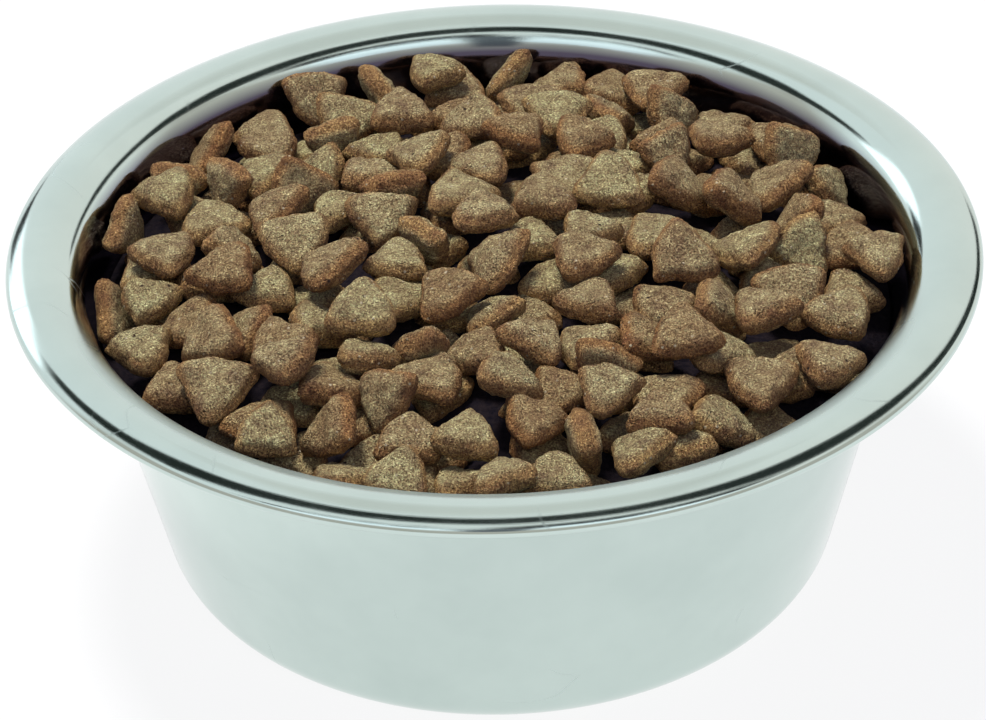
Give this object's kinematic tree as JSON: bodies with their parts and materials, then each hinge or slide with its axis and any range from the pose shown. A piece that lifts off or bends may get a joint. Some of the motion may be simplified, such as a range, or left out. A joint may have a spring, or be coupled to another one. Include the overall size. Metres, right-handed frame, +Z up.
{
  "type": "filled pet food bowl",
  "caption": "Round stainless-steel feeding bowl with tapered sides and a wide rolled rim, heaped with three-cornered dry kibble.",
  "frame": {"origin": "centre of the bowl's underside, on the bowl's axis", "axes": "+Z up along the bowl's axis; -Y towards the side that the picture shows"},
  "size_m": [0.176, 0.176, 0.0707],
  "materials": {
    "steel": "satin",
    "kibble": "matte"
  },
  "bodies": {
    "root": {"bowl": "steel", "kibble_01": "kibble", "kibble_02": "kibble", "kibble_03": "kibble", "kibble_04": "kibble", "kibble_05": "kibble", "kibble_06": "kibble", "kibble_07": "kibble", "kibble_08": "kibble", "kibble_09": "kibble", "kibble_10": "kibble", "kibble_11": "kibble", "kibble_12": "kibble", "kibble_13": "kibble", "kibble_14": "kibble", "kibble_15": "kibble", "kibble_16": "kibble", "kibble_17": "kibble", "kibble_18": "kibble", "kibble_19": "kibble", "kibble_20": "kibble", "kibble_21": "kibble", "kibble_22": "kibble", "kibble_23": "kibble", "kibble_24": "kibble", "kibble_25": "kibble", "kibble_26": "kibble", "kibble_27": "kibble", "kibble_28": "kibble", "kibble_29": "kibble", "kibble_30": "kibble", "kibble_31": "kibble", "kibble_32": "kibble", "kibble_33": "kibble", "kibble_34": "kibble", "kibble_35": "kibble", "kibble_36": "kibble", "kibble_37": "kibble", "kibble_38": "kibble", "kibble_39": "kibble", "kibble_40": "kibble", "kibble_41": "kibble", "kibble_42": "kibble", "kibble_43": "kibble", "kibble_44": "kibble", "kibble_45": "kibble", "kibble_46": "kibble", "kibble_47": "kibble", "kibble_heap": "kibble"}
  },
  "joints": []
}
